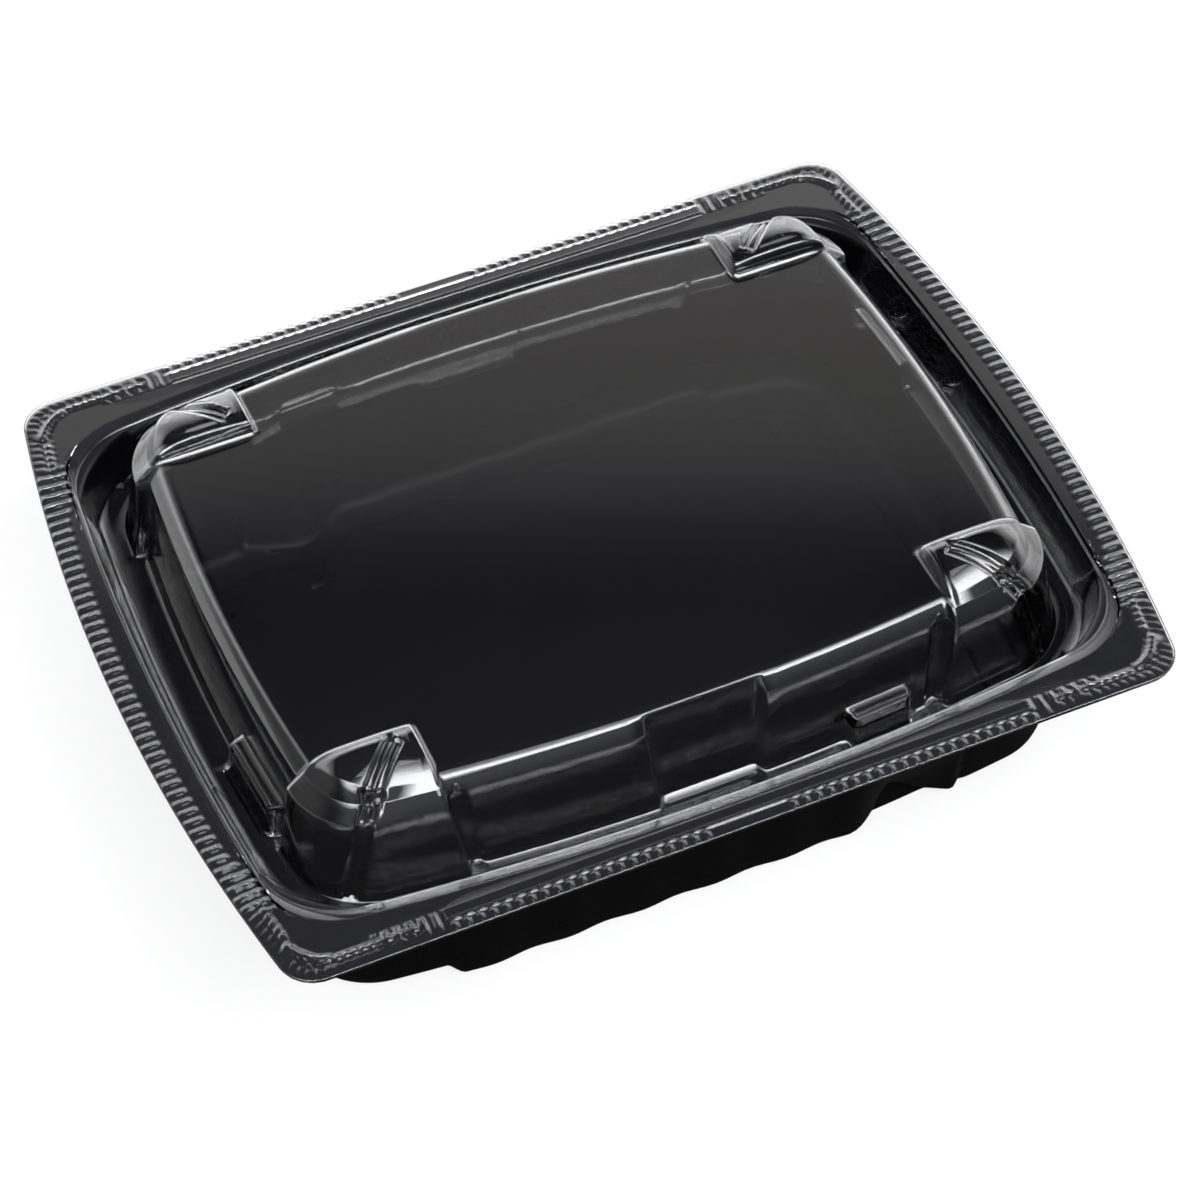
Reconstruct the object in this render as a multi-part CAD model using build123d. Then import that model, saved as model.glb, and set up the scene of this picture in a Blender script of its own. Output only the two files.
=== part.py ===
"""Takeaway food container: a glossy black formed tray and the clear inner-fit lid that plugs into its rim.

Both are single sheets of plastic drawn over a mould, so each is built as an outer skin less an inner skin.
X runs along the length, Y across, and Z up from the face that the tray stands on. Sizes are in millimetres.
"""
import os
from math import asin, atan2, degrees

from build123d import *

# Sheet thickness of the two formed pieces, and the air between them
lid_wall = 0.4
tray_wall = 0.5
fit_gap = 0.3

# Rim of the lid: virtual corner to corner, with bowed ends
rim_length = 200.0
rim_width = 175.8
rim_end_bow = 8.4
rim_corner_radius = 8.3

# Grip ribs and beads formed in the rim
rib_width = 1.7
rib_height = 0.5
tooth_pitch = 2.78
tooth_length = 2.3
tooth_inset = 1.75
tooth_first = 3
tooth_last = 23
bar_pitch = 2.83
bar_length = 4.0
bar_inset = 2.3
bar_last = 18
fan_places = [55.0, 57.7, 60.5, 63.5, 66.6]
fan_length = 5.2
fan_inset = 3.4
side_bar_place = 68.6
side_bar_pitch = 2.75
side_bar_count = 6
side_bar_fan = 2.0
side_bar_length = 6.4
side_bar_inset = 4.9
bead_length = 133.0
bead_width = 3.7
bead_inset = 4.75
bead_height = 0.6
bead_slope = 30.0
stud_width = 1.9
stud_top = 0.5
stud_height = 0.6
stud_pitch = 3.6
side_stud_rows = [(1.5, 78.0, 5), (4.0, 72.4, 6)]
end_stud_rows = [(1.6, 69.6, 3), (4.0, 71.4, 3)]

# Well inside the flat rim: the land around it, the bows of its sides, and its corners
land_at_end = 9.4
land_at_side = 10.1
well_end_bow = 3.9
well_side_bow = 6.2
well_corner_radius = 27.0

# Plug of the lid: the channel that goes down inside the tray's mouth
plug_depth = 11.0
plug_lean = 3.2
floor_at_end = 7.8
floor_at_side = 6.3

# Dome of the lid above the rim
shoulder_rise = 10.5
panel_rise = 14.0
dome_lean = 2.7
shoulder_in = 2.8
shoulder_round = 0.3

# Hand recess in the middle of each long dome wall
recess_width = 22.4
recess_flare = 2.2
recess_depth = 2.75

# Corner posts, on which the next container stands, with a slot beside each in the long walls
post_length = 34.0
post_width = 24.0
post_proud = 2.6
post_corner_radius = 18.0
post_lean = 4.6
crest_rise = 19.5
crest_end_rise = 17.4
crest_setback = 5.5
crest_to_eave = 12.0
crest_fullness = 0.55
crest_hang = 0.34
eave_rise = 12.6
slot_width = 2.8
slot_depth = 1.2

# Groove that runs over each post from its crest to a kink at the eave and down its corner
groove_width = 4.2
groove_depth = 1.1
groove_start = (66.5, 49.8)
groove_kink = (73.4, 62.0)
groove_foot = (82.0, 66.0)

# De-nesting lugs at the foot of the dome, alike after half a turn
lug_proud = 3.7
lug_height = 8.0
lug_lean = 1.0
side_lug_length = 14.0
side_lug_place = 38.8
end_lug_length = 21.0
end_lug_place = 30.5

# Tray
tray_height = 43.3
flange_inset = 1.0
ledge_at_end = 2.6
ledge_at_side = 3.0
tray_lean = 3.4
foot_bevel = 2.6
straight_length = 118.0
straight_step = 0.4
base_raise = 1.4
foot_ring = 9.0
scoop_place = 47.0
scoop_radius = 18.0
scoop_depth = 7.5
scoop_height = 24.0

# Places that follow from the sizes
rim_half_length = rim_length / 2 + rim_end_bow
rim_half_width = rim_width / 2
rim_under = tray_height + fit_gap
rim_top = rim_under + lid_wall
plug_floor = rim_top - plug_depth
shoulder_z = rim_top + shoulder_rise
panel_z = rim_top + panel_rise
well_half_length = rim_half_length - land_at_end
well_half_width = rim_half_width - land_at_side
dome_half_length = well_half_length - plug_lean - floor_at_end
dome_half_width = well_half_width - plug_lean - floor_at_side

# Cutters and overlaps reach past the faces that they cut or join
over = 1.0
sunk = 0.1
far = 200.0


def bowed_edge(start, end, bow):
    """One side of an outline, swollen outwards by bow as the outline is followed anticlockwise."""
    if bow == 0:
        return Line(start, end)
    return SagittaArc(start, end, -bow)


def outline(half_length, half_width, end_bow, side_bow, corner):
    """Plan face of a formed edge: half sizes are taken at the middle of each side."""
    x = half_length - end_bow
    y = half_width - side_bow
    corners = [(x, -y), (x, y), (-x, y), (-x, -y)]
    bows = [end_bow, side_bow, end_bow, side_bow]
    edges = [bowed_edge(corners[i], corners[(i + 1) % 4], bows[i]) for i in range(4)]
    face = make_face(edges)
    return fillet(face.vertices(), corner)


def rim_outline(inset):
    """Outline of the rim, drawn in by inset all round."""
    corner = rim_corner_radius - inset
    return outline(rim_half_length - inset, rim_half_width - inset, rim_end_bow, 0, corner)


def well_outline(at_end, at_side):
    """Outline of the well, drawn in by its own amount at the ends and at the sides."""
    corner = well_corner_radius - max(at_end, at_side)
    return outline(well_half_length - at_end, well_half_width - at_side, well_end_bow, well_side_bow, corner)


def tower(face, start, way, storeys):
    """Solid on a plan face, up (way 1) or down (way -1). A storey is its height and how far its walls come in."""
    whole = Part()
    for height, lean in storeys:
        storey = extrude(face, height, taper=degrees(atan2(lean, height)))
        whole += storey
        face = storey.faces().sort_by(Axis.Z)[-1]
    if way < 0:
        whole = mirror(whole, Plane.XY)
    return Pos(0, 0, start) * whole


def block(low, high, z_low, z_high):
    """Leaning block between two rectangles, each given as x0, y0, x1, y1."""
    faces = []
    for (x0, y0, x1, y1), z in ((low, z_low), (high, z_high)):
        faces.append(Pos((x0 + x1) / 2, (y0 + y1) / 2, z) * Rectangle(x1 - x0, y1 - y0))
    return loft(faces, ruled=True)


def four_ways(solid):
    """The solid in all four corners."""
    half = solid + mirror(solid, Plane.XZ)
    return half + mirror(half, Plane.YZ)


def half_turn(solid):
    """The solid and its copy turned by half a turn about the middle."""
    return solid + Rot(0, 0, 180) * solid


def rib(length):
    """One grip rib along X, with a ridge on top, sunk a little into the rim."""
    half = rib_width / 2
    ridge = make_face(Polyline((-half, -sunk), (half, -sunk), (0, rib_height), close=True))
    return Pos(-length / 2, 0, rim_top) * extrude(Plane.YZ * ridge, length)


def stud():
    """One small blunt pyramid on the rim's corner."""
    base = Pos(0, 0, rim_top - sunk) * Rectangle(stud_width, stud_width)
    height = stud_height + sunk
    return extrude(base, height, taper=degrees(atan2(stud_width / 2 - stud_top / 2, height)))


def grip_ribs():
    """Ribs and studs of one quarter of the rim."""
    end_radius = (rim_half_width ** 2 + rim_end_bow ** 2) / (2 * rim_end_bow)
    centre_x = rim_half_length - end_radius

    def at_end(inset, y):
        return Pos(centre_x, 0) * Rot(0, 0, degrees(asin(y / end_radius))) * Pos(end_radius - inset, 0)

    made = []
    for k in range(tooth_first, tooth_last + 1):
        made.append(Pos(k * tooth_pitch, rim_half_width - tooth_inset) * Rot(0, 0, 90) * rib(tooth_length))
    for k in range(side_bar_count):
        place = Pos(side_bar_place + k * side_bar_pitch, rim_half_width - side_bar_inset)
        made.append(place * Rot(0, 0, 90 - side_bar_fan * k) * rib(side_bar_length))
    for k in range(bar_last + 1):
        made.append(at_end(bar_inset, k * bar_pitch) * rib(bar_length))
    for y in fan_places:
        made.append(at_end(fan_inset, y) * rib(fan_length))
    for inset, first, count in side_stud_rows:
        for k in range(count):
            made.append(Pos(first + k * stud_pitch, rim_half_width - inset) * stud())
    for inset, first, count in end_stud_rows:
        for k in range(count):
            made.append(at_end(inset, first + k * stud_pitch) * stud())
    return made


def bead():
    """Long bead on the rim of one long side, with sloping flanks."""
    plan = RectangleRounded(bead_length, bead_width, bead_width / 4)
    form = extrude(plan, bead_height + sunk, taper=bead_slope)
    return Pos(0, rim_half_width - bead_inset, rim_top - sunk) * form


def dome_shell(skin, foot_z):
    """Main dome from its foot to the panel, each face drawn in by skin."""
    at_end = plug_lean + floor_at_end + skin
    at_side = plug_lean + floor_at_side + skin
    rise = panel_rise - shoulder_rise
    return tower(well_outline(at_end, at_side), foot_z, 1, [
        (shoulder_z - skin - foot_z, dome_lean),
        (rise * (1 - shoulder_round), shoulder_in / 2),
        (rise * shoulder_round, shoulder_in / 2),
    ])


def hand_recess(skin, foot_z):
    """Cutter for the recess in each long wall, which leaves the panel edge whole."""
    low = recess_width / 2 + skin
    high = low + recess_flare
    front = -dome_half_width - post_proud
    back = -dome_half_width + recess_depth + skin
    top = panel_z - skin
    cut = block((-low, front, low, back), (-high, front, high, back + dome_lean), foot_z, top)
    return cut + mirror(cut, Plane.XZ)


def post_slots(skin, foot_z):
    """Cutter for the narrow slot between each post and the long wall beside it."""
    post_side = dome_half_length - post_length + over
    front = dome_half_width + post_proud
    back = dome_half_width - slot_depth - skin
    near = post_side - over - slot_width - skin
    cut = block((near, back, post_side, front), (near, back - dome_lean, post_side + post_lean, front),
                foot_z, shoulder_z - skin)
    return four_ways(cut)


def lugs(skin, foot_z):
    """De-nesting lugs on the four walls at the foot of the dome."""
    x = side_lug_place
    half = side_lug_length / 2 - skin
    top = plug_floor + lug_height - skin
    face = dome_half_width + lug_proud - skin
    inside = dome_half_width - 2 * lug_proud
    side = block((x - half, -face, x + half, -inside),
                 (x - half + lug_lean, -face + lug_lean, x + half - lug_lean, -inside), foot_z, top)
    y = end_lug_place
    half = end_lug_length / 2 - skin
    face = dome_half_length + lug_proud - skin
    inside = dome_half_length - 2 * lug_proud
    end = block((inside, y - half, face, y + half),
                (inside, y - half + lug_lean, face - lug_lean, y + half - lug_lean), foot_z, top)
    return half_turn(side) + half_turn(end)


def post_form(skin, foot_z):
    """Four corner posts: drafted walls under a roof that falls from a crest to the outer corner."""
    top_z = rim_top + crest_rise + over
    lean_rate = dome_lean / (shoulder_rise + plug_depth)
    half_length = dome_half_length + post_proud - skin
    half_width = dome_half_width + post_proud - skin
    foot = outline(half_length, half_width, well_end_bow, well_side_bow, post_corner_radius - skin)
    walls = tower(foot, foot_z, 1, [(top_z - foot_z, lean_rate * (top_z - foot_z))])
    x0 = dome_half_length - post_length + skin
    y0 = dome_half_width - post_width + skin
    far_x = half_length + 5 * over
    far_y = half_width + 5 * over
    region = block((x0, y0, far_x, far_y), (x0 + post_lean, y0 + post_lean / 2, far_x, far_y), foot_z, top_z)
    crest_z = rim_top + crest_rise - skin
    eave_z = rim_top + eave_rise - skin
    crest_y = dome_half_width - post_width + crest_setback
    eave_y = crest_y + crest_to_eave - skin / 2
    brow = (crest_y + crest_fullness * crest_to_eave, crest_z - crest_hang * (crest_z - eave_z))
    roof_y = make_face([
        Polyline((y0 - over, foot_z), (y0 - over, panel_z - skin), (crest_y, crest_z)),
        ThreePointArc((crest_y, crest_z), brow, (eave_y, eave_z)),
        Polyline((eave_y, eave_z), (far_y, eave_z - (far_y - eave_y)), (far_y, foot_z),
                 (y0 - over, foot_z)),
    ])
    end_z = rim_top + crest_end_rise - skin
    side_x = x0 + post_lean
    drop_x = dome_half_length - dome_lean - shoulder_in - skin / 2
    roof_x = make_face([
        Polyline((x0 - over, foot_z), (x0 - over, end_z), (side_x, end_z)),
        ThreePointArc((side_x, end_z), ((side_x + drop_x) / 2, crest_z + sunk), (drop_x, panel_z - skin)),
        Polyline((drop_x, panel_z - skin), (far_x, panel_z - skin - (far_x - drop_x)), (far_x, foot_z),
                 (x0 - over, foot_z)),
    ])
    over_y = extrude(Plane.YZ * roof_y, far_x)
    over_x = extrude(Plane.XZ * roof_x, -far_y)
    return four_ways(walls & region & over_y & over_x)


def post_grooves(skin, foot_z):
    """Cutter for the groove that runs over each post from its crest to the eave and down its corner."""
    width = groove_width + 2 * skin
    ends = [groove_start, groove_kink, groove_foot]
    slab = Part()
    for (x0, y0), (x1, y1) in zip(ends, ends[1:]):
        length = ((x1 - x0) ** 2 + (y1 - y0) ** 2) ** 0.5
        turn = Rot(0, 0, degrees(atan2(y1 - y0, x1 - x0)))
        slab += Pos(x0, y0, rim_top) * turn * Pos(length / 2, 0) * Box(length + width / 2, width, far / 2)
    quadrant = Pos(far / 2, far / 2, rim_top) * Box(far, far, far)
    core = post_form(skin + groove_depth, foot_z - 5 * over) & quadrant
    return four_ways(slab - core)


def dome(skin, foot_z):
    """The whole raised middle of the lid, each face drawn in by skin."""
    shell = dome_shell(skin, foot_z) - hand_recess(skin, foot_z) - post_slots(skin, foot_z)
    shell += lugs(skin, foot_z)
    posts = post_form(skin, foot_z) - post_grooves(skin, foot_z)
    return shell + posts


def plug(grow):
    """Space inside the plug's outer wall, or with grow the plug's outside."""
    rate = plug_lean / plug_depth
    height = plug_depth + grow
    return tower(well_outline(-grow, -grow), rim_top, -1, [(height, rate * height)])


def make_lid():
    """Clear lid: flat rim, channel that plugs into the tray, and the dome with its corner posts."""
    rim = Pos(0, 0, rim_under) * extrude(rim_outline(0), lid_wall)
    mouth = Pos(0, 0, rim_top) * extrude(well_outline(0, 0), over)
    outside = rim + plug(lid_wall)
    shell = outside - (plug(0) + mouth) + dome(0, plug_floor) - dome(lid_wall, plug_floor - 2 * lid_wall)
    pattern = []
    for turn in (Rot(0, 0, 0), Rot(0, 0, 180)):
        for item in grip_ribs():
            pattern += [turn * item, turn * mirror(item, Plane.XZ)]
        pattern.append(turn * bead())
    return shell + pattern


def tray_space(grow):
    """Space inside the tray from its mouth to its floor, or with grow the tray's outside."""
    slack = lid_wall + fit_gap
    rate = plug_lean / plug_depth
    seat_z = plug_floor - slack - grow
    mouth_in = -slack - grow
    height = tray_height - seat_z
    mouth = tower(well_outline(mouth_in, mouth_in), tray_height, -1, [(height, rate * height)])
    seat_in = mouth_in + rate * height
    floor_z = tray_wall - grow
    end_in = seat_in + ledge_at_end
    side_in = seat_in + ledge_at_side
    storeys = [(seat_z - floor_z - foot_bevel, tray_lean), (foot_bevel, foot_bevel)]
    lower = tower(well_outline(end_in, side_in + straight_step), seat_z, -1, storeys)
    half_length = straight_length / 2 + tray_lean / 2 + grow
    half_width = well_half_width - side_in
    straight = tower(Rectangle(2 * half_length, 2 * half_width), seat_z, -1, storeys)
    ring_in = tray_lean + foot_ring + grow
    rise = base_raise + 2 * over
    raised = tower(well_outline(end_in + ring_in, side_in + ring_in), floor_z - 2 * over, 1, [(rise, over)])
    return mouth + (lower + straight - raised - scoops(grow))


def scoops(grow):
    """Cutter for the two scoops in the lower wall, at the front right and the back left."""
    base_y = well_half_width - plug_lean - ledge_at_side - tray_lean
    near = scoop_radius - grow
    centre_y = -base_y - scoop_radius + scoop_depth
    top = max(scoop_radius - scoop_depth - tray_lean, over) - grow
    cone = Cone(near, top, scoop_height, align=(Align.CENTER, Align.CENTER, Align.MIN))
    return half_turn(Pos(scoop_place, centre_y, 0) * cone)


def make_tray():
    """Black tray: flange, mouth that takes the plug, a narrow ledge and the food well on a foot ring."""
    flange = Pos(0, 0, tray_height - tray_wall) * extrude(rim_outline(flange_inset), tray_wall)
    slack = lid_wall + fit_gap
    mouth = Pos(0, 0, tray_height) * extrude(well_outline(-slack, -slack), over)
    return flange + tray_space(tray_wall) - (tray_space(0) + mouth)


os.makedirs("parts", exist_ok=True)
for name, solid in (("tray", make_tray()), ("lid", make_lid())):
    export_step(solid, f"parts/{name}.step")
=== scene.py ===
"""Takeaway food container: a glossy black formed tray and the clear lid that plugs into its mouth."""
import math

import bmesh
import bpy
from mathutils import Matrix, Vector


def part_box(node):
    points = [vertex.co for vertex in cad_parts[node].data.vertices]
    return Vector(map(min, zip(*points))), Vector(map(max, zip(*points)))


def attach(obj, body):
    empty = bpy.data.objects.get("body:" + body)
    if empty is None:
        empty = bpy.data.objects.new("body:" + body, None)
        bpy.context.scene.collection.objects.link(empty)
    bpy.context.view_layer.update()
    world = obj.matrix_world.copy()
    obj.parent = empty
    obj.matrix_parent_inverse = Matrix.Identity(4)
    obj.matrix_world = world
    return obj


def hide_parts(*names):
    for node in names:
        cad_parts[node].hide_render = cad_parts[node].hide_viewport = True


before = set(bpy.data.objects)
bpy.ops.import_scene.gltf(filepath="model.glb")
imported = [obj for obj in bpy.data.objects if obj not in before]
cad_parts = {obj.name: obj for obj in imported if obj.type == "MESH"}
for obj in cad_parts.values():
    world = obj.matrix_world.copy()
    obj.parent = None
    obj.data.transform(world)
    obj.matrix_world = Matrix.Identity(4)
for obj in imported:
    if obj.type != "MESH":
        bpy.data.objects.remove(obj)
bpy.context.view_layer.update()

# Tray.
# One sheet of black polystyrene, drawn into a mould while hot and trimmed: a flat flange, a mouth that
# takes the plug of the lid, a narrow ledge, and a food well that stands on a ring round its raised centre.
# Its sizes are in millimetres until the sheet is finished.
mm = 0.001
tray_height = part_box("tray")[1].z / mm
tray_wall = 0.5
lid_wall = 0.4
fit_gap = 0.3
rim_length = 200.0
rim_half_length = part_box("lid")[1].x / mm
rim_half_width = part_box("lid")[1].y / mm
rim_end_bow = rim_half_length - rim_length / 2
rim_corner_radius = 8.3
well_inset_at_end = 9.4
well_inset_at_side = 10.1
well_half_length = rim_half_length - well_inset_at_end
well_half_width = rim_half_width - well_inset_at_side
well_end_bow = 3.9
well_side_bow = 6.2
well_corner_radius = 27.0
plug_depth = 11.0
plug_lean = 3.2
least_bow = 0.001


def spaced(stretches):
    """Places from zero outwards: each stretch is where it ends and about how far apart its places are."""
    places = [0.0]
    for end, step in stretches:
        start = places[-1]
        count = max(1, round((end - start) / step))
        places += [start + (end - start) * (k + 1) / count for k in range(count)]
    return places


def smooth(low, high, value):
    """Smooth step from 0 at low to 1 at high."""
    t = min(max((value - low) / (high - low), 0.0), 1.0)
    return t * t * (3 - 2 * t)


def mix(a, b, share):
    """The value between a and b."""
    return a + (b - a) * share


def unmoved(place, end):
    """A column's place as it stands, on the long side or on the short one; the argument end is not used."""
    return place


class Plan:
    """A bowed rectangle with round corners, as seen from above."""

    def __init__(self, half_length, half_width, end_bow, side_bow, corner):
        self.corner = corner
        bow_x = max(end_bow, least_bow)
        bow_y = max(side_bow, least_bow)
        chord_x = half_length - bow_x
        chord_y = half_width - bow_y
        self.end_radius = (chord_y ** 2 + bow_x ** 2) / (2 * bow_x)
        self.side_radius = (chord_x ** 2 + bow_y ** 2) / (2 * bow_y)
        self.end_centre = half_length - self.end_radius
        self.side_centre = half_width - self.side_radius
        # The corner's centre is where two circles meet, each drawn in by the corner's radius
        reach_end = self.end_radius - corner
        reach_side = self.side_radius - corner
        apart = math.hypot(self.end_centre, self.side_centre)
        along = (reach_end ** 2 - reach_side ** 2 + apart ** 2) / (2 * apart)
        across = math.sqrt(max(reach_end ** 2 - along ** 2, 0.0))
        way = Vector((-self.end_centre, self.side_centre)) / apart
        self.middle = Vector((self.end_centre, 0)) + way * along + Vector((-way.y, way.x)) * -across
        if self.middle.x < 0 or self.middle.y < 0:
            self.middle = Vector((self.end_centre, 0)) + way * along + Vector((-way.y, way.x)) * across
        self.first = math.atan2(self.middle.y, self.middle.x - self.end_centre)
        self.last = math.atan2(self.middle.y - self.side_centre, self.middle.x)

    def side(self, x):
        """Half width at x, on the long side."""
        return self.side_centre + math.sqrt(self.side_radius ** 2 - x ** 2)

    def end(self, y):
        """Half length at y, on the short side."""
        return self.end_centre + math.sqrt(self.end_radius ** 2 - y ** 2)

    def along_corner(self, side_x, end_y, share):
        """Point on the way round the corner from side_x on the long side to end_y on the short one."""
        turn_x = self.middle.x + self.corner * math.cos(self.last)
        turn_y = self.middle.y + self.corner * math.sin(self.first)
        before = turn_x - side_x
        arc = self.corner * (self.last - self.first)
        after = turn_y - end_y
        gone = share * (before + arc + after)
        if gone < before:
            return Vector((side_x + gone, self.side(side_x + gone)))
        if gone < before + arc:
            angle = self.last - (gone - before) / self.corner
            return self.middle + self.corner * Vector((math.cos(angle), math.sin(angle)))
        y = turn_y - (gone - before - arc)
        return Vector((self.end(y), y))


class Columns:
    """The columns of a sheet's mesh in one quadrant: long side, round the corner, short side."""

    def __init__(self, side_places, end_places, corner_cells):
        self.side_places = side_places
        self.end_places = end_places
        self.cells = corner_cells
        self.across = len(side_places) - 1 + corner_cells // 2
        self.down = len(end_places) - 1 + corner_cells // 2

    def place(self, plan, column, lean=unmoved, split=0.5):
        """Point of a plan at a column, counted from the middle of the long side."""
        sides = len(self.side_places) - 1
        if column <= sides:
            x = lean(self.side_places[column], False)
            return Vector((x, plan.side(x)))
        if column >= sides + self.cells:
            y = lean(self.end_places[sides + self.cells - column - 1], True)
            return Vector((plan.end(y), y))
        share = (column - sides) / self.cells
        share = mix(0, split, share * 2) if share < 0.5 else mix(split, 1, share * 2 - 1)
        return plan.along_corner(lean(self.side_places[-1], False), lean(self.end_places[-1], True), share)


def new_grid(columns, place):
    """Grid of cells with a column of the sheet at each vertex of its edge, every vertex in its place."""
    bm = bmesh.new()
    bmesh.ops.create_grid(bm, x_segments=2 * columns.across, y_segments=2 * columns.down, size=1)
    column_of = bm.verts.layers.int.new("column")
    side_of = bm.verts.layers.int.new("side")
    for vert in bm.verts:
        i = round(vert.co.x * columns.across)
        j = round(vert.co.y * columns.down)
        sign_x = -1 if i < 0 else 1
        sign_y = -1 if j < 0 else 1
        vert[side_of] = sign_x + 2 * sign_y
        if abs(j) == columns.down:
            vert[column_of] = abs(i)
        else:
            vert[column_of] = columns.across + columns.down - abs(j)
        x, y, z = place(abs(i), abs(j), sign_x, sign_y)
        vert.co = Vector((sign_x * x, sign_y * y, z))
    return bm


def signs(side):
    """The signs of X and Y that a vertex's side stands for."""
    sign_y = -1 if side < 0 else 1
    return side - 2 * sign_y, sign_y


def add_ring(bm, edges, place):
    """Draws the sheet out by one ring from its open edge, and puts the new vertices in their places."""
    made = bmesh.ops.extrude_edge_only(bm, edges=edges)["geom"]
    column_of = bm.verts.layers.int["column"]
    side_of = bm.verts.layers.int["side"]
    for vert in [item for item in made if isinstance(item, bmesh.types.BMVert)]:
        sign_x, sign_y = signs(vert[side_of])
        x, y, z = place(vert[column_of], sign_x, sign_y)
        vert.co = Vector((sign_x * x, sign_y * y, z))
    return [item for item in made if isinstance(item, bmesh.types.BMEdge)]


def stations(corners, turn_steps, faces):
    """Points down a section through corners (inset at the end, inset at the side, height, radius), as rows
    of the first three numbers. Faces holds, for the face before each corner, the shares of it at which a
    point stands."""
    points = [Vector(corner[:3]) for corner in corners]
    rows = [points[0]]
    left = points[0]
    for k in range(1, len(corners)):
        if k == len(corners) - 1:
            rows += [left.lerp(points[k], share) for share in faces[k - 1]] + [points[k]]
            break
        before = points[k - 1] - points[k]
        after = points[k + 1] - points[k]
        angle = before.yz.angle(after.yz)
        reach = corners[k][3] / math.tan(angle / 2)
        start = points[k] + before * (reach / before.yz.length)
        stop = points[k] + after * (reach / after.yz.length)
        rows += [left.lerp(start, share) for share in faces[k - 1]]
        for step in range(turn_steps + 1):
            t = step / turn_steps
            rows.append(start.lerp(points[k], t).lerp(points[k].lerp(stop, t), t))
        left = stop
    return rows


def spread(columns, i, j, edge, lean=unmoved):
    """Plan place of a grid vertex: on straight lines in the middle, and on a patch in the corner."""
    half = columns.cells // 2
    sides = columns.across - half
    ends = columns.down - half
    x = lean(columns.side_places[min(i, sides)], False)
    y = lean(columns.end_places[min(j, ends)], True)
    if i <= sides and j <= ends:
        return x, y
    u = max(i - sides, 0) / half
    v = max(j - ends, 0) / half
    if i <= sides:
        top = edge(i)
        return mix(x, top[0], v), mix(y, top[1], v)
    if j <= ends:
        right = edge(columns.across + columns.down - j)
        return mix(x, right[0], u), mix(y, right[1], u)
    inner = Vector((x, y))
    top_start = Vector(edge(sides))
    right_start = Vector(edge(sides + columns.cells))
    far = Vector(edge(columns.across))
    top = Vector(edge(i))
    right = Vector(edge(columns.across + columns.down - j))
    bottom = inner.lerp(right_start, u)
    left = inner.lerp(top_start, v)
    rim = inner * (1 - u) * (1 - v) + right_start * u * (1 - v) + top_start * (1 - u) * v + far * u * v
    return tuple(bottom * (1 - v) + top * v + left * (1 - u) + right * u - rim)


def finish_sheet(bm, name, wall, node, body):
    """Makes the drawn sheet an object with its wall thickness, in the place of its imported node."""
    bmesh.ops.scale(bm, vec=(mm, mm, mm), verts=bm.verts)
    bmesh.ops.recalc_face_normals(bm, faces=bm.faces)
    if sum(face.normal.z * face.calc_area() for face in bm.faces) < 0:
        bmesh.ops.reverse_faces(bm, faces=bm.faces)
    mesh = bpy.data.meshes.new(name)
    bm.to_mesh(mesh)
    bm.free()
    mesh.shade_smooth()
    sheet = bpy.data.objects.new(name, mesh)
    bpy.context.scene.collection.objects.link(sheet)
    thickness = sheet.modifiers.new("Sheet", "SOLIDIFY")
    thickness.thickness = wall * mm
    thickness.offset = -1
    thickness.use_even_offset = False
    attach(sheet, body)
    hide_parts(node)
    return sheet


ledge_at_end = 2.6
ledge_at_side = 3.4
tray_lean = 3.4
foot_radius = 3.2
foot_ring = 9.0
foot_step = 0.4
base_raise = 1.4
base_slope = 1.0
base_flat = 6.0
mouth_flat = 3.0
least_corner = 3
straight_half = 59.0
straight_fade = 1.5
straight_proud = 0.4
flute_pitch = 17.0
flute_depth = 0.35
scoop_place = 47.0
scoop_reach = 16.0
scoop_depth = 7.5
scoop_height = 24.0
slack = lid_wall + fit_gap
seat_z = tray_height + fit_gap + lid_wall - plug_depth - slack
seat_in = plug_lean - slack
ledge_end = seat_in + ledge_at_end
ledge_side = seat_in + ledge_at_side
foot_end = ledge_end + tray_lean
foot_side = ledge_side + tray_lean
ring_end = foot_end + foot_ring
ring_side = foot_side + foot_ring
base_z = tray_wall + base_raise

tray_columns = Columns(spaced([(24, 2.4), (56, 1.6), (62, 0.75), (64, 1)]), spaced([(47.5, 3)]), 32)
tray_faces = [[], [], [0.3, 0.6], [0.12, 0.24, 0.36, 0.48, 0.6, 0.72, 0.84], [0.5], [0.33, 0.67], []]
tray_section = stations([
    (ring_end + base_flat, ring_side + base_flat, base_z, 0),
    (ring_end + base_slope, ring_side + base_slope, base_z, 0.7),
    (ring_end, ring_side, tray_wall, 0.7),
    (foot_end + foot_step, foot_side + foot_step, tray_wall, foot_radius),
    (ledge_end, ledge_side, seat_z, 0.8),
    (seat_in, seat_in, seat_z, 0.8),
    (-slack, -slack, tray_height, 1.8),
    (-slack - mouth_flat, -slack - mouth_flat, tray_height, 0),
], 4, tray_faces)


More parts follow.
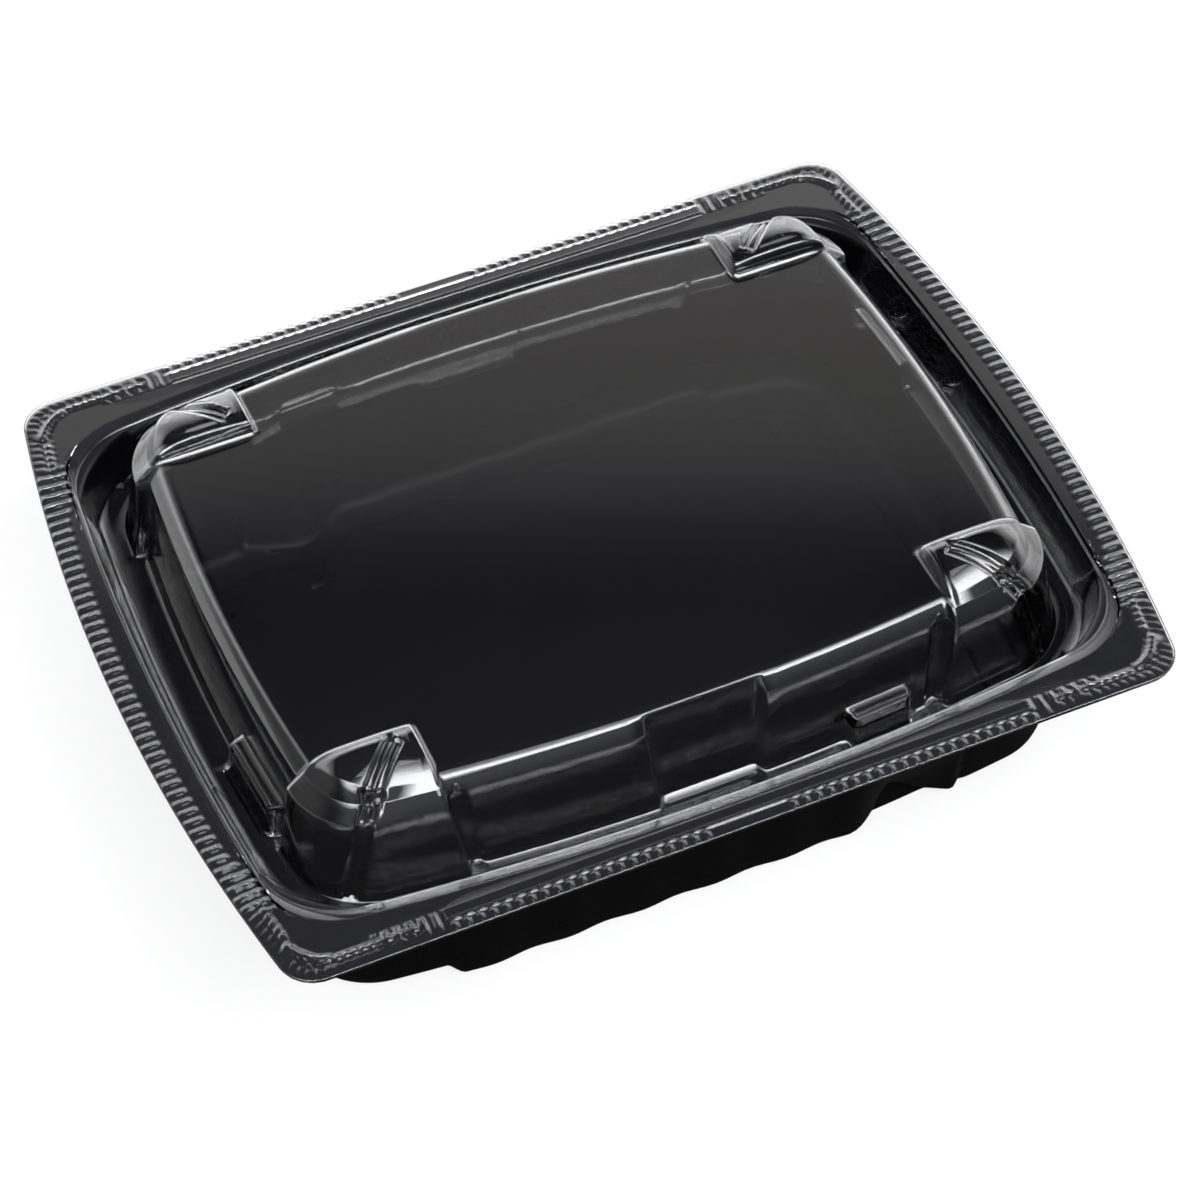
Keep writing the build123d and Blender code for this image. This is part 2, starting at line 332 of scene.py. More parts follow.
def tray_point(row, column, sign_x, sign_y):
    """Point of the food well: its bowed sides have a fluted straight stretch and are cut by two scoops."""
    end_in, side_in, z = tray_section[row]
    corner = max(well_corner_radius - max(end_in, side_in), least_corner)
    plan = Plan(well_half_length - end_in, well_half_width - side_in, well_end_bow, well_side_bow, corner)
    x, y = tray_columns.place(plan, column)
    under_ledge = z < seat_z - 0.1
    if under_ledge and (z > tray_wall + 0.01 or side_in < foot_side + 1):
        straight = well_half_width - side_in + straight_proud
        wave = flute_depth * math.cos(2 * math.pi * x / flute_pitch)
        bowed = smooth(straight_half - straight_fade, straight_half + straight_fade, x)
        y = mix(y, max(y, straight + wave), 1 - bowed)
        if sign_x * sign_y < 0 and z < scoop_height:
            across = min(abs(x - scoop_place) / scoop_reach, 1)
            y -= scoop_depth * (1 - z / scoop_height) * (0.5 + 0.5 * math.cos(math.pi * across))
    return x, y, z


def well_floor(i, j, sign_x, sign_y):
    """Point of the flat raised floor, between the middle lines and the first ring."""
    def edge(column):
        return tray_point(0, column, sign_x, sign_y)[:2]
    x, y = spread(tray_columns, i, j, edge)
    return x, y, tray_section[0].z


def rim_plan(inset):
    """Outline of the rim, drawn in by an inset."""
    return Plan(rim_half_length - inset, rim_half_width - inset, rim_end_bow, 0, rim_corner_radius - inset)


bm = new_grid(tray_columns, well_floor)
edge = [item for item in bm.edges if item.is_boundary]
for row in range(1, len(tray_section)):
    edge = add_ring(bm, edge, lambda column, sign_x, sign_y: tray_point(row, column, sign_x, sign_y))
flange_inset = 0.25
flange = rim_plan(flange_inset)


def flange_point(column, sign_x, sign_y):
    """Point of the flange's ring that is being drawn, at a share of the way from the mouth to the edge."""
    inner = tray_point(len(tray_section) - 1, column, sign_x, sign_y)
    outer = tray_columns.place(flange, column)
    return mix(inner[0], outer[0], share), mix(inner[1], outer[1], share), tray_height


# The last ring but one lies close to the edge, so the flange looks flat up to it
for share in (0.5, 0.96, 1.0):
    edge = add_ring(bm, edge, flange_point)
tray = finish_sheet(bm, "black_tray", tray_wall, "tray", "tray")


class Wire:
    """What comes out of a shader node. Sums on it add Math nodes."""

    def __init__(self, tree, socket):
        self.tree = tree
        self.socket = socket

    def sum(self, operation, first, second=0.0):
        """A Math node on two values."""
        return node(self.tree, "Math", {"operation": operation}, {0: first, 1: second})

    def __add__(self, other):
        return self.sum("ADD", self, other)

    def __mul__(self, other):
        return self.sum("MULTIPLY", self, other)

    __radd__ = __add__
    __rmul__ = __mul__

    def part(self, axis):
        """One of the three numbers of a place or a direction."""
        return node(self.tree, "SeparateXYZ", {}, {"Vector": self}, axis)

    def rise(self, low, high, kind="LINEAR", least=0.0):
        """From least where this is low to 1 where it is high."""
        ends = {"Value": self, "From Min": low, "From Max": high, "To Min": least}
        return node(self.tree, "MapRange", {"interpolation_type": kind}, ends)

    def shades(self, stops):
        """Colours along this, from stops that each hold a place and the three parts of a colour."""
        return node(self.tree, "ValToRGB", {"stops": stops}, {"Fac": self}, "Color")


def node(tree, kind, settings=None, inputs=None, output=0):
    """A shader node with its settings made first, then the values or links of its sockets."""
    made = tree.nodes.new("ShaderNode" + kind)
    for name, value in (settings or {}).items():
        if name == "stops":
            while len(made.color_ramp.elements) < len(value):
                made.color_ramp.elements.new(1.0)
            for stop, (place, *colour) in zip(made.color_ramp.elements, value):
                stop.position = place
                stop.color = (*colour, 1)
        else:
            setattr(made, name, value)
    for name, value in (inputs or {}).items():
        if isinstance(value, Wire):
            tree.links.new(value.socket, made.inputs[name])
        else:
            made.inputs[name].default_value = value
    return Wire(tree, made.outputs[output])


def new_material(name):
    """An empty material, its node tree and its output node."""
    material = bpy.data.materials.new(name)
    material.use_nodes = True
    tree = material.node_tree
    tree.nodes.clear()
    return material, tree, tree.nodes.new("ShaderNodeOutputMaterial")


# Heights in metres: the floor of the well is hazy, and the flange is a little duller than the walls and has a
# painted sheen, a slightly lighter black
floor_from = 0.012
floor_to = 0.006
flange_from = 0.0425
flange_to = 0.043
deep_black = (0.001, 0.001, 0.0013, 1)
flange_painted_sheen = (0.008, 0.008, 0.009, 1)

gloss_black, tree, output = new_material("gloss_black_sheet")
place = node(tree, "TexCoord", output="Object")
haze = node(tree, "TexNoise", {}, {"Vector": place, "Scale": 35.0, "Detail": 3.0}, "Fac")
ripple = node(tree, "TexNoise", {}, {"Vector": place, "Scale": 60.0, "Detail": 2.0}, "Fac")
bump = node(tree, "Bump", {}, {"Strength": 0.12, "Distance": 0.0004, "Height": ripple}, "Normal")
height = place.part("Z")
on_floor = height.rise(floor_from, floor_to)
on_flange = height.rise(flange_from, flange_to)
# The outer face has the full gloss, and the inner face, seen through the lid, has none of it
facing = node(tree, "TexCoord", output="Normal")
flat_place = node(tree, "VectorMath", {"operation": "MULTIPLY"}, {0: place, 1: (1, 1, 0)}, "Vector")
outwards = node(tree, "VectorMath", {"operation": "DOT_PRODUCT"}, {0: facing, 1: flat_place}, "Value")
outward = outwards.rise(0.01, 0.03)
# Painted sheen: the flange's colour is a lighter black that stands in for the grey the rim shows under the
# clear lid
colour = node(tree, "Mix", {"data_type": "RGBA"}, {0: on_flange, 6: deep_black, 7: flange_painted_sheen}, 2)
surface = node(tree, "BsdfPrincipled", {}, {
    "Base Color": colour,
    "Roughness": haze * 0.06 + on_flange * 0.2 + on_floor * 0.4 + 0.07,
    "Specular IOR Level": 0.1,
    "Coat Weight": outward + on_flange * 0.25,
    "Coat Roughness": 0.08,
    "Normal": bump,
}, "BSDF")
tree.links.new(surface.socket, output.inputs["Surface"])
tray.data.materials.append(gloss_black)

# Lid.
# One sheet of clear polystyrene, drawn into a mould and trimmed: a rim with grip ribs, a channel that plugs
# into the tray, and a dome with a hand recess in each long wall, four lugs and four corner posts with a
# groove each.
rim_top = tray_height + fit_gap + lid_wall
floor_at_end = 7.8
floor_at_side = 6.3
panel_rise = 14.0
shoulder_rise = 10.5
dome_lean = 2.7
shoulder_at_end = 2.6
shoulder_at_side = 3.0
panel_edge = 2.2
foot_in_end = plug_lean + floor_at_end
foot_in_side = plug_lean + floor_at_side
wall_in_end = foot_in_end + dome_lean
wall_in_side = foot_in_side + dome_lean
panel_in_end = wall_in_end + shoulder_at_end
panel_in_side = wall_in_side + shoulder_at_side
post_proud = 2.6
post_side_at = 54.0
post_end_at = 44.3
post_lean = 4.6
post_shoulder = 9.6
eave_rise = 12.9
crest_rise = 19.5
crest_y = 49.8
eave_y = 62.0
eave_x = 82.5
crest_x = 70.3
eave_in_end = 14.6
eave_in_side = 12.1
crown_run = 1.4
crown_run_side = 1.5
crown_rise = 1.2
eave_corner_radius = 14
post_corner_radius = 18
corner_split = 0.43

# Columns stand close together at the recess, the lugs, the slot and the side of a post
lid_columns = Columns(
    spaced([(9.5, 3.2), (14, 0.7), (31, 3.4), (33.4, 0.8), (44.2, 3.7), (46.6, 0.8), (50.2, 1.8),
            (56.5, 0.52), (62, 1.0)]),
    spaced([(18.6, 3.8), (21.4, 0.7), (39.4, 3.7), (43.2, 0.8), (47.5, 0.6)]), 36)
lip_drop = 0.5
lip_at_end = 1.2
lip_at_side = 3.0
land = 0.15
lip_rows = [
    (plug_lean, plug_lean, -plug_depth, 1.7),
    (0, 0, -lip_drop, 1.1),
    (-lip_at_end, -lip_at_side, 0, 1.5),
    (-lip_at_end - 2 * land, -lip_at_side - 2 * land, 0, 0),
]
dome_wall = [0.13, 0.27, 0.42, 0.56, 0.62, 0.625, 0.645, 0.665, 0.67, 0.83]
wall_faces = [[], [0.5], dome_wall, [0.5], [0.5], [], [0.5]]
main_section = stations([
    (panel_in_end + panel_edge, panel_in_side + panel_edge, panel_rise, 0),
    (panel_in_end, panel_in_side, panel_rise, 2.8),
    (wall_in_end, wall_in_side, shoulder_rise, 1.0),
    (foot_in_end, foot_in_side, -plug_depth, 1.5),
] + lip_rows, 3, wall_faces)
post_section = stations([
    (eave_in_end + crown_run, eave_in_side + crown_run_side, eave_rise + crown_rise, 0),
    (eave_in_end, eave_in_side, eave_rise, 0.8),
    (foot_in_end, foot_in_side, post_shoulder, 1.0),
    (foot_in_end - post_proud, foot_in_side - post_proud, -plug_depth, 0.7),
] + lip_rows, 3, wall_faces)
post_corner = [mix(eave_corner_radius, post_corner_radius, smooth(eave_rise, post_shoulder, row.z))
               for row in post_section]
# Where the columns beside a post begin and cease to lean with its side, on the short and the long side
end_lean_in = (39.4, 43.6)
end_lean_out = (46.5, 50)
side_lean_in = (46.6, 53.4)
side_lean_out = (56, 64)


def lean_at(z):
    """How far a post's side has leant in at a height above the rim."""
    return post_lean * (z + plug_depth) / (crest_rise + plug_depth)


def lid_lean(z):
    """Moves the columns near a post's side with the lean of that side."""
    def moved(place, end):
        if end:
            share = smooth(*end_lean_in, place) * (1 - smooth(*end_lean_out, place))
            return place + share * lean_at(z) / 2
        share = smooth(*side_lean_in, place) * (1 - smooth(*side_lean_out, place))
        return place + share * lean_at(z)
    return moved


def post_share(x, y, z):
    """1 on a post and 0 on the main dome, with a narrow step between."""
    over_x = x - post_side_at - lean_at(z)
    over_y = y - post_end_at - lean_at(z) / 2
    return smooth(-0.5, 0.5, over_x) * smooth(-0.5, 0.5, over_y)


roof_blend = 3.0
roof_round_y = 1.9
roof_round_x = 2.2
inner_slope = 0.85
inner_drop = 2.0
inner_run = 12.0
edge_ridge = 0.35


def roof(x, y):
    """Height of a post's roof: it falls from a crest to the outer corner."""
    a = max(eave_y - y, 0) / (eave_y - crest_y)
    b = max(eave_x - x, 0) / (eave_x - crest_x)
    rise = crest_rise - eave_rise
    fall_y = eave_rise + rise * (1 - abs(1 - min(a, 1)) ** roof_round_y)
    if a > 1:
        fall_y = crest_rise - inner_slope * (crest_y - y)
    fall_x = eave_rise + rise * (1 - abs(1 - min(b, 1)) ** roof_round_x)
    if b > 1:
        fall_x = crest_rise - inner_drop * ((crest_x - x) / inner_run) ** 2
    gap = abs(fall_x - fall_y)
    return min(fall_x, fall_y) - max(roof_blend - gap, 0) ** 2 / (4 * roof_blend)


def lid_top(x, y):
    """Height of the dome's top above the rim: the panel, and a post with a thin raised edge."""
    lean = lean_at(panel_rise)
    share = post_share(x, y, panel_rise)
    edge = min(x - post_side_at - lean, y - post_end_at - lean / 2)
    ridge = edge_ridge * share * smooth(1.0, 0.2, abs(edge - 1.0))
    return mix(panel_rise, max(roof(x, y), panel_rise), share) + ridge


recess_half = 11.2
recess_flare = 2.2
recess_depth = 2.75
recess_edge = (-0.5, 0.7)
slot_depth = 1.2
slot_near = (50.6, 51.4)
slot_near_lean = 0.7
slot_far = (53.0, 53.6)
slot_end = (-1.5, 0.5)
lug_proud = 3.7
lug_height = 8.0
lug_top_share = 0.85
lug_edge = 0.5
side_lug_at = 38.8
side_lug_half = 7.1
end_lug_at = 30.5
end_lug_half = 10.6
# Rows of the dome's wall: a lug's top lies at three close rows, and the rows below them stand out in full
lug_rows = {15: 0.04, 16: 0.5, 17: 0.96}
last_lug_row = 17
first_floor_row = 24


def well_plan(row, corner):
    """Outline of the well's mouth, drawn in by the insets of a row."""
    return Plan(well_half_length - row.x, well_half_width - row.y, well_end_bow, well_side_bow, corner)


main_plans = [well_plan(row, well_corner_radius - max(row.x, row.y)) for row in main_section]
post_plans = [
    well_plan(row, corner if row.z > -plug_depth + 0.2 else well_corner_radius - max(row.x, row.y))
    for row, corner in zip(post_section, post_corner)]


def dome_wall_point(x, y, z, row, sign_x, sign_y):
    """Place on the dome's wall with the hand recess, the slot beside a post and the lugs pressed into it."""
    up = z + plug_depth
    # The hand recess goes straight from the channel's floor to the edge of the panel
    half = recess_half + recess_flare * up / (panel_rise + plug_depth)
    cut = 1 - smooth(*recess_edge, x - half)
    back = well_half_width - foot_in_side - recess_depth - dome_lean * up / (shoulder_rise + plug_depth)
    y = mix(y, min(y, max(back, well_half_width - panel_in_side)), cut)
    lean = lean_at(z)
    slot = smooth(*slot_near, x - lean * slot_near_lean) * (1 - smooth(*slot_far, x - lean))
    y -= slot_depth * slot * (1 - smooth(*slot_end, z - shoulder_rise))
    out = lug_rows.get(row, float(row > last_lug_row)) * lug_proud * mix(1, lug_top_share, up / lug_height)
    if sign_x * sign_y < 0:
        y += out * smooth(side_lug_half + lug_edge, side_lug_half - lug_edge, abs(x - side_lug_at))
    else:
        x += out * smooth(end_lug_half + lug_edge, end_lug_half - lug_edge, abs(y - end_lug_at))
    return x, y


def lid_ring(row, column, sign_x, sign_y):
    """Point of a ring of the lid above the rim: the main section, passing over to a post's in the corners."""
    main = main_section[row]
    lean = lid_lean(main.z)
    a = lid_columns.place(main_plans[row], column, lean, corner_split)
    b = lid_columns.place(post_plans[row], column, lean, corner_split)
    share = post_share(b.x + 0.01, b.y, main.z)
    x, y = a.lerp(b, share)
    z = mix(main.z, post_section[row].z, share)
    if row == 0:
        return x, y, lid_top(x, y)
    if row < first_floor_row and z > -plug_depth + 0.05:
        x, y = dome_wall_point(x, y, z, row, sign_x, sign_y)
    return x, y, z


def lid_vertex(i, j, sign_x, sign_y):
    """Point of the dome's top."""
    def edge(column):
        return lid_ring(0, column, sign_x, sign_y)[:2]
    x, y = spread(lid_columns, i, j, edge, lid_lean(panel_rise))
    return x, y, rim_top + lid_top(x, y)


def lid_ring_point(column, sign_x, sign_y):
    """Point of the ring that is being drawn."""
    x, y, z = lid_ring(row, column, sign_x, sign_y)
    return x, y, rim_top + z


bm = new_grid(lid_columns, lid_vertex)
edge = [item for item in bm.edges if item.is_boundary]
for row in range(1, len(main_section)):
    edge = add_ring(bm, edge, lid_ring_point)

# A groove is pressed over each post, from its crest to a kink at the eave and down to its foot
groove_start = Vector((62.3, 49.6))
groove_kink = Vector((73.4, 61.8))
groove_foot = Vector((82.0, 66.0))
groove_out = Vector((0.54, 0.84))
groove_half = 2.2
groove_flank = 0.9
groove_depth = 1.2
groove_ridge = 0.4
groove_margin = 0.7
groove_reach = 3.2
groove_before = 2.5
corners_from = 80
far_beside = 99.0
well_along = 5.0


def groove_offset(vert):
    """How far a vertex lies beside the middle of the nearest groove, and how far it is along it."""
    place = Vector((abs(vert.co.x), abs(vert.co.y)))
    z = vert.co.z - rim_top
    if z > eave_rise - 0.2:
        way = (groove_kink - groove_start).normalized()
        offset = place - groove_start
        return abs(offset.x * way.y - offset.y * way.x), offset.dot(way)
    share = (eave_rise - z) / (eave_rise + plug_depth)
    offset = place - groove_kink.lerp(groove_foot, share)
    if abs(offset.dot(groove_out)) > groove_reach:
        return far_beside, 0.0
    return abs(offset.x * groove_out.y - offset.y * groove_out.x), well_along


def near_groove(vert):
    """Whether a vertex lies in a groove or just beside it."""
    across, along = groove_offset(vert)
    above_floor = vert.co.z - rim_top > -plug_depth + 0.5
    beside = across < groove_half + groove_margin and along > -groove_before
    return beside and above_floor and vert.co.xy.length > corners_from


edges = [item for item in bm.edges if near_groove(item.verts[0]) and near_groove(item.verts[1])]
bmesh.ops.subdivide_edges(bm, edges=edges, cuts=1, use_grid_fill=True)
bmesh.ops.recalc_face_normals(bm, faces=bm.faces)
bm.normal_update()
moves = []
for vert in bm.verts:
    if near_groove(vert):
        across, along = groove_offset(vert)
        cut = smooth(groove_half, groove_half - groove_flank, across) * smooth(-1.0, 1.0, along)
        ridge = groove_ridge * cut * smooth(0.7, 0.1, across)
        moves.append((vert, (ridge - groove_depth * cut) * vert.normal))
for vert, move in moves:
    vert.co += move

# Grip ribs of the rim: teeth with a bead inside them on the long sides, fans beside the corners, bars on the
# short sides, and two staggered rows of small pyramids round each corner, with a crescent inside them.
tooth_pitch = 2.78
tooth_count = 24
teeth_from = 7.5
teeth_to = 66.7
bead_fade = 0.8
bar_pitch = 2.83
bar_count = 18
fan_pitch = 2.75
fan_first = 68.4
fan_slant = 0.03
fans_from = 69
fans_to = 84
fans_fade = (80, 83)
bars_to = 67.5
bar_reach = 4.2
bar_reach_last = 6.2
bar_tilt = 0.1
steps_per_rib = 5
rib_rise = 0.5
bead_line = 0.18
bump_rise = 0.6
bump_count = 22
bump_rows = ((1.7, 0), (3.9, 0.5))
bump_half = 1.2
bumps_from = Vector((70, 64))
crescent_x = 88.6
crescent_y = 73.6
crescent_radius = 10.2
crescent_rise = 0.7
rim_columns = Columns(
    spaced([(tooth_count * tooth_pitch, tooth_pitch / steps_per_rib)]),
    spaced([(bar_count * bar_pitch, bar_pitch / steps_per_rib)]), 124)
rim_insets = [6.6, 6.5, 6.15, 5.7, 5.2, 4.7, 4.2, 3.7, 3.25, 2.9, 2.2, 0.8, 0.3, 0]
rim_edge = rim_plan(0)
bumps = [rim_plan(inset).along_corner(bumps_from.x + 2, bumps_from.y + 2, (k + shift) / bump_count)
         for inset, shift in bump_rows for k in range(bump_count)]


def rib(along, pitch):
    """Height of a row of ribs, one of which stands at zero."""
    return rib_rise * smooth(0.4, 0.85, 0.5 + 0.5 * math.cos(2 * math.pi * along / pitch))


def side_relief(x, inset):
    """Height of the teeth and of the bead inside them, which has fine lines along it."""
    height = 0.0
    if x > teeth_from:
        height = rib(x - tooth_pitch / 2, tooth_pitch) * smooth(0.3, 0.7, inset) * smooth(2.9, 2.2, inset)
    bead = smooth(2.9, 3.2, inset) * smooth(6.5, 6.15, inset) * smooth(teeth_to, teeth_to - bead_fade, x)
    lines = bead_line * math.cos(2 * math.pi * (inset - 3.2))
    return max(height, (rib_rise + lines) * bead)


def fan_relief(x, inset):
    """Height of the ribs beside a corner, which turn as they come nearer to it."""
    fan = x + (inset - 4) * fan_slant * smooth(fans_from, fans_to, x) * (x - fans_from)
    height = rib(fan - fan_first, fan_pitch) * smooth(1.4, 2.2, inset) * smooth(6.5, 5.9, inset)
    return height * (1 - smooth(*fans_fade, x))


def end_relief(y, inset):
    """Height of the bars, which grow longer and tilt towards a corner."""
    reach = mix(bar_reach, bar_reach_last, smooth(50, 58, y))
    tilt = (inset - 2) * bar_tilt * smooth(51, 66, y)
    return rib(y + tilt, bar_pitch) * smooth(0.3, 0.7, inset) * smooth(reach + 0.3, reach - 0.5, inset)


def corner_relief(x, y, height):
    """Height with the small pyramids, and with the crescent and the flat strip round it."""
    for place in bumps:
        far = max(abs(place.x - x), abs(place.y - y))
        if far < bump_half:
            height = max(height, bump_rise * smooth(1.05, 0.3, far))
    off = abs(math.hypot(x - crescent_x, y - crescent_y) - crescent_radius)
    turn = math.degrees(math.atan2(y - crescent_y, x - crescent_x))
    crescent = smooth(1.0, 0.55, off) * smooth(15, 19, turn) * smooth(79, 75, turn)
    strip = smooth(1.9, 1.2, off) * smooth(10, 17, turn) * smooth(84, 77, turn)
    return max(height * (1 - strip), crescent_rise * crescent)


def rim_relief(x, y, inset):
    """Height of the rim's pattern at a point of one quadrant, the inset being from the rim's edge."""
    on_side = rim_half_width - y < rim_edge.end(min(y, 80)) - x
    height = 0.0
    if on_side and x < teeth_to:
        height = side_relief(x, inset)
    elif on_side and x < fans_to:
        height = fan_relief(x, inset)
    elif not on_side and y < bars_to:
        height = end_relief(y, inset)
    if x > bumps_from.x and y > bumps_from.y:
        height = corner_relief(x, y, height)
    return height


def rim_point(inset):
    """Gives the place of each point of the rim's ring at an inset."""
    plan = rim_plan(inset)

    def place(column, sign_x, sign_y):
        x, y = rim_columns.place(plan, column)
        return x, y, rim_top + rim_relief(x, y, inset)
    return place


# The rim is drawn as a band of its own, with columns fine enough for the ribs, and then joined to the lip
band = bmesh.new()
quarter_count = rim_columns.across + rim_columns.down
bmesh.ops.create_circle(band, segments=4 * quarter_count, radius=1)
column_of = band.verts.layers.int.new("column")
side_of = band.verts.layers.int.new("side")
band.verts.ensure_lookup_table()
for vert in band.verts:
    turn = math.atan2(vert.co.y, vert.co.x) / (2 * math.pi)
    number = round(turn * 4 * quarter_count) % (4 * quarter_count)
    quadrant, step = divmod(number, quarter_count)
    sign_x = 1 if quadrant in (0, 3) else -1
    sign_y = 1 if quadrant in (0, 1) else -1
    vert[column_of] = quarter_count - step if quadrant in (0, 2) else step
    vert[side_of] = sign_x + 2 * sign_y
    x, y, z = rim_point(rim_insets[0])(vert[column_of], sign_x, sign_y)
    vert.co = Vector((sign_x * x, sign_y * y, z))
inner = band.edges[:]
outer = inner
for inset in rim_insets[1:]:
    outer = add_ring(band, outer, rim_point(inset))
for item in inner + edge:
    item.seam = True
band_mesh = bpy.data.meshes.new("band")
band.to_mesh(band_mesh)
band.free()
bm.from_mesh(band_mesh)
bmesh.ops.bridge_loops(bm, edges=[item for item in bm.edges if item.seam])
lid = finish_sheet(bm, "clear_lid", lid_wall, "lid", "lid")

clear_sheet, tree, output = new_material("clear_sheet")
place = node(tree, "TexCoord", output="Object")
cloud = node(tree, "TexNoise", {}, {"Vector": place, "Scale": 30.0, "Detail": 2.0}, "Fac")
glass = node(tree, "BsdfPrincipled", {}, {
    "Base Color": (0.96, 0.965, 0.97, 1),
    "Roughness": cloud * 0.03 + 0.01,
    "IOR": 1.56,
    "Transmission Weight": 1.0,
}, "BSDF")
open_way = node(tree, "BsdfTransparent", {}, {"Color": (0.92, 0.92, 0.92, 1)}, "BSDF")
shadow = node(tree, "LightPath", output="Is Shadow Ray")
both = node(tree, "MixShader", {}, {0: shadow, 1: glass, 2: open_way}, "Shader")
tree.links.new(both.socket, output.inputs["Surface"])
lid.data.materials.append(clear_sheet)

# Floor.
# A plain white table that keeps a soft shadow under the tray. What the gloss of the container mirrors of
# it is dark in front and pale behind and at both sides.
floor_half = 2.5
floor_bm = bmesh.new()
bmesh.ops.create_grid(floor_bm, x_segments=1, y_segments=1, size=floor_half)
floor_mesh = bpy.data.meshes.new("floor")
floor_bm.to_mesh(floor_mesh)
floor_bm.free()
floor = bpy.data.objects.new("floor", floor_mesh)
bpy.context.scene.collection.objects.link(floor)
white_floor, tree, output = new_material("white_floor")
camera_ray = node(tree, "LightPath", output="Is Camera Ray")
through = node(tree, "LightPath", output="Is Transmission Ray")
lit = node(tree, "BsdfDiffuse", {}, {"Color": (0.8, 0.8, 0.8, 1)}, "BSDF")
shown = node(tree, "Emission", {}, {"Color": (1, 1, 1, 1), "Strength": 1.0}, "Emission")
place = node(tree, "TexCoord", output="Object")
behind = place.part("Y").rise(0.09, 0.13)
aside = place.part("X")
beside = aside.sum("ABSOLUTE", aside).rise(0.1, 0.14)
far_off = behind.sum("MAXIMUM", behind, beside)
dark = node(tree, "BsdfDiffuse", {}, {"Color": (0.02, 0.02, 0.02, 1)}, "BSDF")
pale = node(tree, "Emission", {}, {"Color": (1, 1, 1, 1), "Strength": 0.9}, "Emission")
mirrored = node(tree, "MixShader", {}, {0: far_off, 1: dark, 2: pale}, "Shader")
white = node(tree, "MixShader", {}, {0: 0.75, 1: lit, 2: shown}, "Shader")
both = node(tree, "MixShader", {}, {0: camera_ray + through, 1: mirrored, 2: white}, "Shader")
tree.links.new(both.socket, output.inputs["Surface"])
floor.data.materials.append(white_floor)

# Studio.
# What stands round the table and lights it: a large bright box high in front, and behind a pale sweep that
# grows dark upwards. The camera itself sees plain white, and so does a ray that goes down through the lid.
world = bpy.data.worlds.new("studio")
bpy.context.scene.world = world
world.use_nodes = True
tree = world.node_tree
tree.nodes.clear()
output = tree.nodes.new("ShaderNodeOutputWorld")
way = node(tree, "TexCoord", output="Generated")
height = way.part("Z")
across = way.part("X")
from_left = across.rise(-0.85, -0.4, "SMOOTHSTEP")
to_right = across.rise(0.7, 0.3, "SMOOTHSTEP")
low = height.shades([
    (0.0, 0.03, 0.03, 0.035), (0.3, 0.05, 0.05, 0.06), (0.45, 0.25, 0.26, 0.3), (0.55, 0.45, 0.46, 0.5),
    (0.65, 0.3, 0.3, 0.33), (0.85, 0.1, 0.1, 0.12), (1.0, 0.06, 0.06, 0.07),
])
bright = height.shades([
    (0.0, 0, 0, 0), (0.60, 0, 0, 0), (0.68, 12, 12, 12.2), (0.80, 9, 9, 9.2), (0.9, 3.5, 3.5, 3.6),
    (0.97, 0.6, 0.6, 0.65), (1.0, 0, 0, 0),
])
box = from_left * to_right
front = node(tree, "Mix", {"data_type": "RGBA", "blend_type": "ADD"}, {0: box, 6: low, 7: bright}, 2)
sweep = height.shades([
    (0.0, 1.5, 1.5, 1.55), (0.2, 2.3, 2.3, 2.35), (0.45, 2.2, 2.2, 2.25), (0.60, 1.1, 1.1, 1.1),
    (0.703, 0.46, 0.44, 0.43), (0.7166, 0.41, 0.4, 0.39), (0.7235, 0.36, 0.35, 0.345),
    (0.7304, 0.245, 0.24, 0.26), (0.7372, 0.1, 0.1, 0.115), (0.7438, 0.045, 0.045, 0.055),
    (0.7504, 0.024, 0.025, 0.036), (0.80, 0.05, 0.05, 0.06), (1.0, 0.08, 0.08, 0.09),
])
behind = way.part("Y").rise(-0.35, 0.05, "SMOOTHSTEP")
left_shade = across.rise(-0.82, -0.62, "SMOOTHSTEP", 0.12)
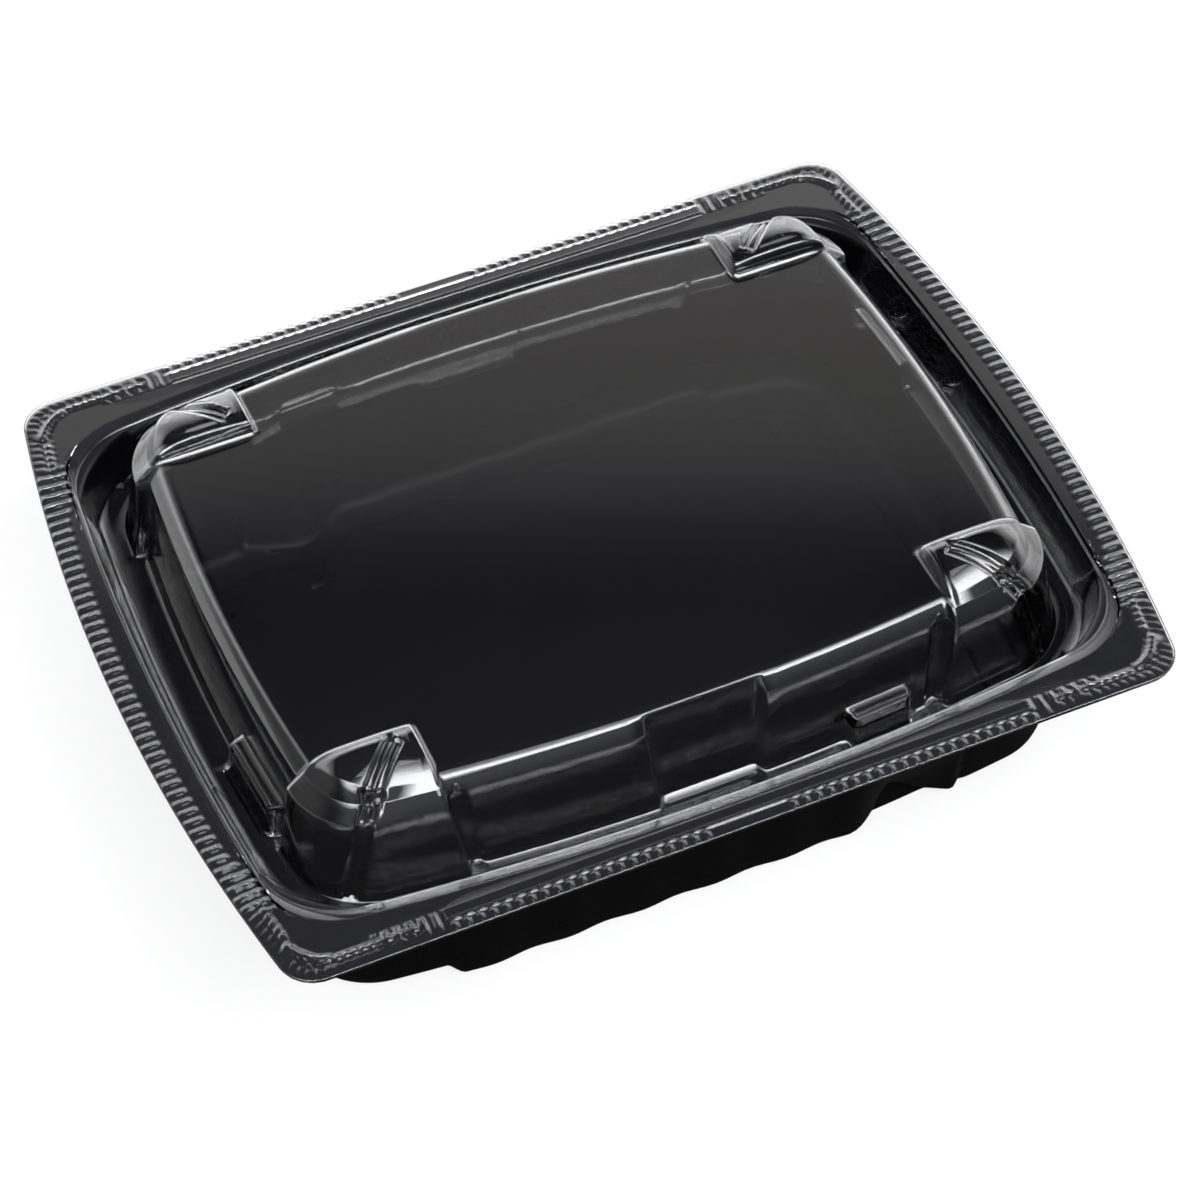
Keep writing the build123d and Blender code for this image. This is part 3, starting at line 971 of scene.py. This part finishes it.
around = node(tree, "Mix", {"data_type": "RGBA"}, {"Factor": behind, 6: front, 7: sweep}, 2)
around = node(tree, "VectorMath", {"operation": "SCALE"}, {0: around, "Scale": left_shade}, "Vector")
shade = node(tree, "Background", {}, {"Color": around, "Strength": 1.0}, "Background")
plain = node(tree, "Background", {}, {"Color": (1, 1, 1, 1), "Strength": 1.0}, "Background")
camera_ray = node(tree, "LightPath", output="Is Camera Ray")
through = node(tree, "LightPath", output="Is Transmission Ray")
downwards = height.rise(0.05, -0.05)
both = node(tree, "MixShader", {}, {0: camera_ray + through * downwards, 1: shade, 2: plain}, "Shader")
tree.links.new(both.socket, output.inputs["Surface"])

# Lamp.
# One weak square soft box, high above the container and a little to its right and front. It faces the
# middle of the lid.
lamp_place = Vector((0.2, -0.2, 1.3))
lamp_aim = Vector((0, 0, 0.05))
lamp_size = 0.3
light = bpy.data.lights.new("top_box", "AREA")
light.shape = "RECTANGLE"
light.size = lamp_size
light.size_y = lamp_size
light.energy = 0.5
lamp = bpy.data.objects.new("top_box", light)
bpy.context.scene.collection.objects.link(lamp)
lamp_turn = (lamp_aim - lamp_place).to_track_quat("-Z", "Y").to_matrix().to_4x4()
lamp.matrix_world = Matrix.Translation(lamp_place) @ lamp_turn

# Camera.
# It stands where the photograph was taken from, high in front of the container and to its left. Its place,
# its turn and its lens were fitted to the outline of the rim.
camera_place = Vector((-0.2188, -0.5475, 0.6919))
right = Vector((0.9163, -0.3999, -0.0227))
forward = Vector((0.2487, 0.6124, -0.7504)).normalized()
right = (right - forward * right.dot(forward)).normalized()
up = right.cross(forward)
camera_turn = Matrix((right, up, -forward)).transposed().to_4x4()
camera_data = bpy.data.cameras.new("camera")
camera_data.sensor_width = 36.0
camera_data.lens = 120.59
camera_data.clip_end = 20
camera = bpy.data.objects.new("camera", camera_data)
bpy.context.scene.collection.objects.link(camera)
camera.matrix_world = Matrix.Translation(camera_place) @ camera_turn
bpy.context.scene.camera = camera
bpy.context.scene.view_settings.view_transform = "Standard"
